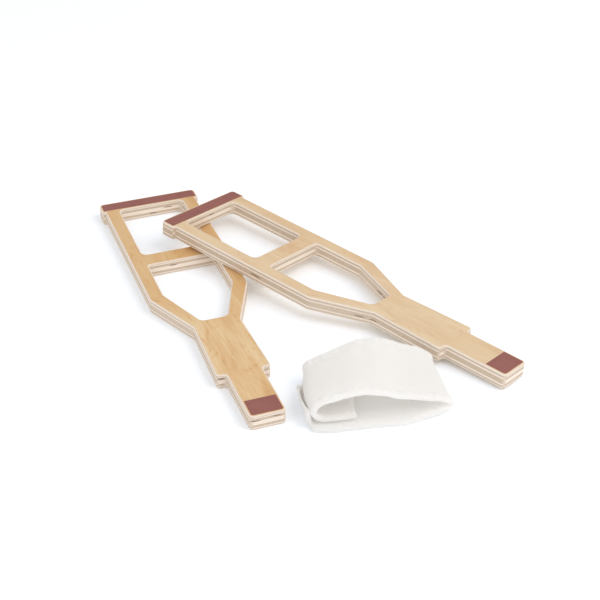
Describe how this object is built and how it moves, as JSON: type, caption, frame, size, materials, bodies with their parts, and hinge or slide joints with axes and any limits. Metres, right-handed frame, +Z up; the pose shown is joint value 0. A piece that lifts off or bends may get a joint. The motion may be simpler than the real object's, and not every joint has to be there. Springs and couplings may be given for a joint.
{
  "type": "doll's crutch and bandage set",
  "caption": "Toy doctor's set for a doll: flat plywood crutches with windowed handgrips and painted ends, one resting across the other, beside a wrapped cloth bandage.",
  "frame": {"origin": "on the lower crutch's underside, below the middle of its plain panel, where it rests on the floor", "axes": "+Z up from the floor, +Y along the lower crutch from foot to armrest, +X across it to the right"},
  "size_m": [0.1746, 0.2615, 0.0207],
  "materials": {
    "birch_face": "sanded birch face veneer, clear matt",
    "birch_long_grain": "cut ply edge, grain along the crutch",
    "birch_cross_grain": "cut ply edge, end grain",
    "rose_paint": "matt dusty rose paint on wood",
    "cotton_muslin": "soft white double-layer cotton",
    "loop_tape": "soft loop tape",
    "hook_tape": "fine hook tape"
  },
  "bodies": {
    "lower_crutch": {"lower_back_veneer": "birch_face", "lower_back_cross_ply": "birch_cross_grain", "lower_back_long_ply": "birch_long_grain", "lower_core_cross_ply": "birch_cross_grain", "lower_front_long_ply": "birch_long_grain", "lower_front_cross_ply": "birch_cross_grain", "lower_front_veneer": "birch_face", "lower_armrest_paint": "rose_paint", "lower_foot_paint": "rose_paint"},
    "upper_crutch": {"upper_back_veneer": "birch_face", "upper_back_cross_ply": "birch_cross_grain", "upper_back_long_ply": "birch_long_grain", "upper_core_cross_ply": "birch_cross_grain", "upper_front_long_ply": "birch_long_grain", "upper_front_cross_ply": "birch_cross_grain", "upper_front_veneer": "birch_face", "upper_armrest_paint": "rose_paint", "upper_foot_paint": "rose_paint"},
    "bandage": {"bandage_band": "cotton_muslin", "loop_patch": "loop_tape"},
    "bandage_tab": {"bandage_tab": "cotton_muslin", "hook_patch": "hook_tape"}
  },
  "joints": [
    {"name": "upper_crutch_lift", "type": "slide", "parent": "lower_crutch", "child": "upper_crutch", "axis": [0, 0, 1], "range_m": [0, 0.08]},
    {"name": "bandage_lift", "type": "slide", "parent": "lower_crutch", "child": "bandage", "axis": [0, 0, 1], "range_m": [0, 0.08]},
    {"name": "tab_peel", "type": "hinge", "parent": "bandage", "child": "bandage_tab", "pos_m": [0.02172, -0.07304, 0.00244], "axis": [-0.165, -0.9863, 0], "range_deg": [0, 40]}
  ]
}
